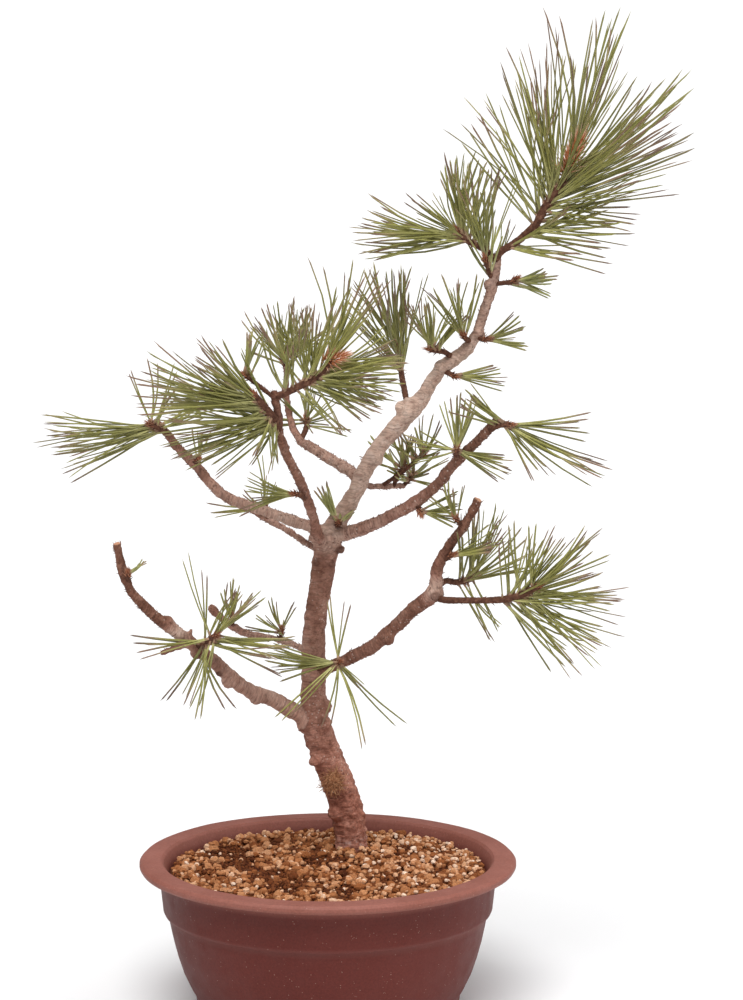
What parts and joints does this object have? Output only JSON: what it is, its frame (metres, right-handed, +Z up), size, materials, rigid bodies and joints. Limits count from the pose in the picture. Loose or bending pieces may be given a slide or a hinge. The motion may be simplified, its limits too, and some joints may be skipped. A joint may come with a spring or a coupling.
{
  "type": "bonsai tree in a pot",
  "caption": "A small pine trained as a bonsai, with a curved trunk, spreading branches and long paired needles, rooted in grit in a round clay pot with a wide lip.",
  "frame": {"origin": "middle of the underside of the pot, on the surface the pot stands on, on the pot's axis", "axes": "+Z up along the axis of the pot, -Y towards the viewer, +X to the right, the side that the top of the tree leans to"},
  "size_m": [0.4333, 0.2503, 0.6603],
  "materials": {
    "clay": "unglazed brown clay, fine pale specks, matt with a faint sheen",
    "soil": "loose baked-clay and pumice grains, matt",
    "bark": "thin wrinkled grey-brown pine bark, matt",
    "needles": "olive green pine needles, slightly waxy",
    "moss": "dry moss and fibre, matt",
    "plastic_mesh": "black plastic drain mesh, matt"
  },
  "bodies": {
    "root": {"pot": "clay", "drain_mesh_1": "plastic_mesh", "drain_mesh_2": "plastic_mesh", "drain_mesh_3": "plastic_mesh", "soil": "soil", "trunk": "bark", "moss_tuft": "moss", "branch_lower_left": "bark", "branch_lower_back": "bark", "branch_lower_right": "bark", "branch_front": "bark", "branch_long_left": "bark", "branch_thin_left": "bark", "branch_right": "bark", "branch_upper_back": "bark", "branch_thin_right": "bark", "shoot_top": "needles", "shoot_top_left": "needles", "young_shoot_left": "needles", "young_shoot_right": "needles", "tuft_leader_left": "needles", "tuft_leader_right": "needles", "tuft_leader_low_right": "needles", "tuft_leader_low_left": "needles", "shoot_back": "needles", "shoot_lower_left": "needles", "bud_lower_left": "needles", "bud_lower_back": "needles", "bud_lower_back_end": "needles", "shoot_lower_right_short": "needles", "shoot_lower_right_long": "needles", "bud_lower_right": "needles", "bud_lower_right_end": "needles", "shoot_trunk_front": "needles", "shoot_front_side": "needles", "shoot_front_left": "needles", "shoot_front_right": "needles", "bud_front_young": "needles", "shoot_left_end": "needles", "bud_left_middle": "needles", "bud_thin_left": "needles", "shoot_right_end": "needles", "shoot_right_middle": "needles", "bud_right_under": "needles", "shoot_upper_back_low": "needles", "shoot_upper_back_left": "needles", "shoot_upper_back_right": "needles", "tuft_thin_right_end": "needles", "tuft_thin_right_middle": "needles", "tuft_thin_right_top": "needles", "tuft_fork": "needles"}
  },
  "joints": []
}
